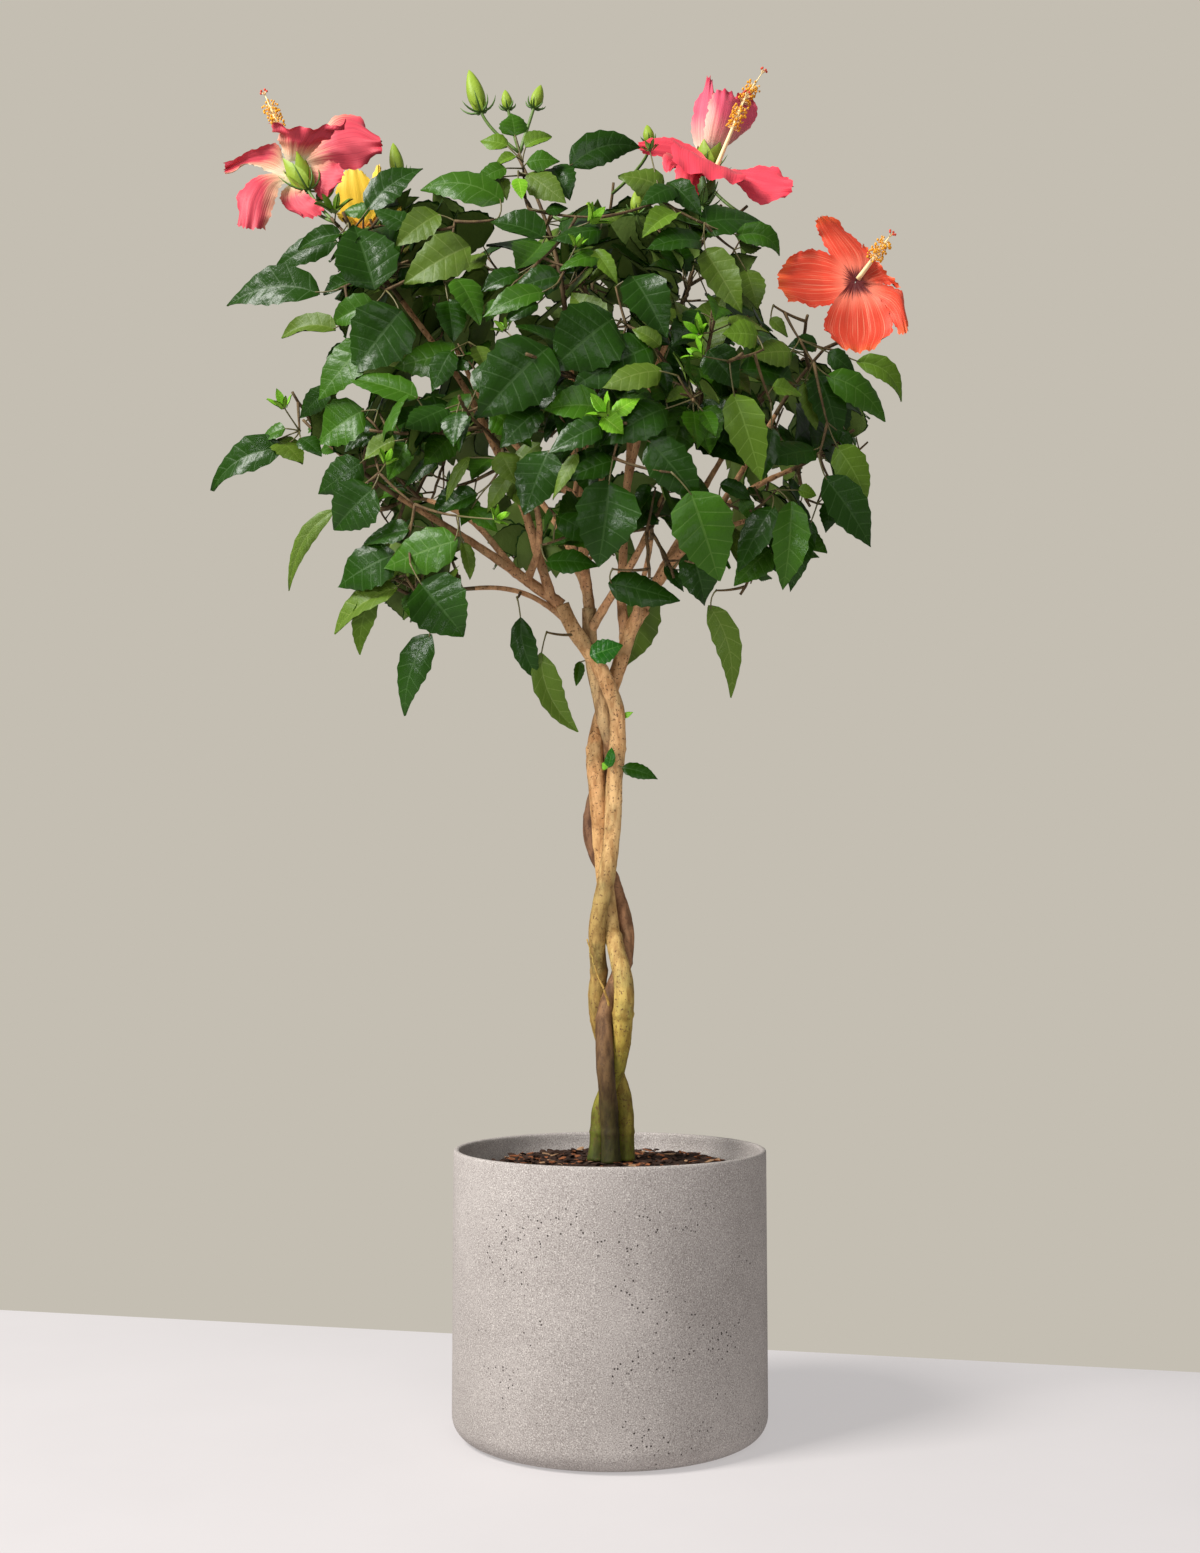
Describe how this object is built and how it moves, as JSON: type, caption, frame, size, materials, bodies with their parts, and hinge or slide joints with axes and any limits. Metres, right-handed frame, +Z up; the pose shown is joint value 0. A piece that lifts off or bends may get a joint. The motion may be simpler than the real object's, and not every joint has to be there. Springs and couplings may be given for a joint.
{
  "type": "potted hibiscus standard",
  "caption": "Flowering hibiscus trained as a small tree on a plaited stem, with a dense leafy crown, in a plain round pot.",
  "frame": {"origin": "centre of the pot's flat underside", "axes": "+Z up along the trunk, -Y towards the front that the picture shows, +X to the right"},
  "size_m": [0.7025, 0.5998, 1.4006],
  "materials": {
    "concrete": "matt, cast, with small pits and speckles",
    "bark_mulch": "rough loose bark mulch",
    "bark": "satin bark with fine length cracks",
    "foliage": "glossy leaves, satin petals"
  },
  "bodies": {
    "root": {"pot": "concrete", "soil": "bark_mulch", "strand_right": "bark", "strand_left": "bark", "strand_middle": "bark", "bough_far_left": "bark", "bough_diagonal": "bark", "bough_low_left": "bark", "bough_front_left": "bark", "bough_back_low_left": "bark", "bough_leader": "bark", "bough_front": "bark", "bough_back_left": "bark", "bough_back": "bark", "bough_upper_back_left": "bark", "bough_front_right": "bark", "bough_right": "bark", "bough_upright": "bark", "bough_upper_back": "bark", "bough_orange": "bark", "bough_low_right": "bark", "bough_back_right": "bark", "bough_front_low": "bark", "bough_low_back": "bark", "foliage_far_left": "foliage", "foliage_upper_left": "foliage", "foliage_low_left": "foliage", "foliage_front_left": "foliage", "foliage_back_low_left": "foliage", "foliage_leader": "foliage", "foliage_front": "foliage", "foliage_back_left": "foliage", "foliage_back": "foliage", "foliage_upper_back_left": "foliage", "foliage_front_right": "foliage", "foliage_right": "foliage", "foliage_upper_right": "foliage", "foliage_upper_back": "foliage", "foliage_orange": "foliage", "foliage_low_right": "foliage", "foliage_back_right": "foliage", "foliage_front_low": "foliage", "foliage_low_back": "foliage", "sprig_fork": "foliage", "sprig_fork_back": "foliage", "sprig_hanging": "foliage", "sprig_trunk": "foliage"}
  },
  "joints": []
}
